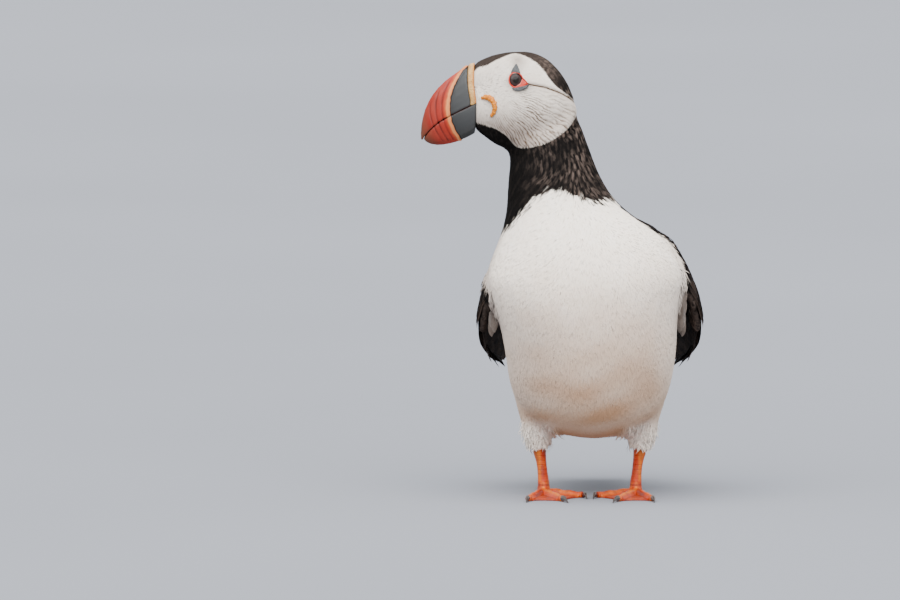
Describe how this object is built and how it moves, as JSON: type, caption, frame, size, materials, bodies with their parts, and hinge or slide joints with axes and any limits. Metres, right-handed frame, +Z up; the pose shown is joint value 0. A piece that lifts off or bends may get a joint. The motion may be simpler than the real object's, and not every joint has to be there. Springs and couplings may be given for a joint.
{
  "type": "atlantic puffin",
  "caption": "Life-size Atlantic puffin standing upright on webbed orange feet, head turned to its right, with a deep banded bill, pale face, white front and dark back and wings.",
  "frame": {"origin": "bottom centre of the whole bird's box, on the level of the soles", "axes": "+Z up; the bird's front faces -Y and its left side is +X; the bill points towards -X"},
  "size_m": [0.1496, 0.1484, 0.2393],
  "materials": {
    "face_feathers": "short dense pale grey-white feathers with a dark brown cap",
    "dark_feathers": "close black-brown feathers, faintly glossy on the wings",
    "white_feathers": "soft dense white feathers, warm beige on the lower belly",
    "leg_skin": "orange scaled skin with a soft damp sheen",
    "claw_horn": "dark grey horn, semi-matt",
    "bill_horn": "red grooved horn with a grey base plate and a pale ridge, satin",
    "cere_horn": "cream horn band with a dark front edge",
    "mouth_skin": "wrinkled yellow-orange skin fold",
    "eye_surface": "wet dark brown eye",
    "eye_plate_horn": "blue-grey horny plate"
  },
  "bodies": {
    "root": {"head": "face_feathers", "neck": "dark_feathers", "back": "dark_feathers", "rump": "dark_feathers", "tail": "dark_feathers", "wing_left": "dark_feathers", "wing_right": "dark_feathers", "flight_feathers_left": "dark_feathers", "flight_feathers_right": "dark_feathers", "breast": "white_feathers", "belly": "white_feathers", "thigh_left": "white_feathers", "thigh_right": "white_feathers", "tarsus_left": "leg_skin", "tarsus_right": "leg_skin", "foot_left": "leg_skin", "foot_right": "leg_skin", "claw_inner_left": "claw_horn", "claw_middle_left": "claw_horn", "claw_outer_left": "claw_horn", "claw_inner_right": "claw_horn", "claw_middle_right": "claw_horn", "claw_outer_right": "claw_horn", "bill_upper": "bill_horn", "bill_lower": "bill_horn", "cere": "cere_horn", "mouth_fold_left": "mouth_skin", "mouth_fold_right": "mouth_skin", "eye_left": "eye_surface", "eye_right": "eye_surface", "eye_plate_upper_left": "eye_plate_horn", "eye_plate_lower_left": "eye_plate_horn", "eye_plate_upper_right": "eye_plate_horn", "eye_plate_lower_right": "eye_plate_horn"}
  },
  "joints": []
}
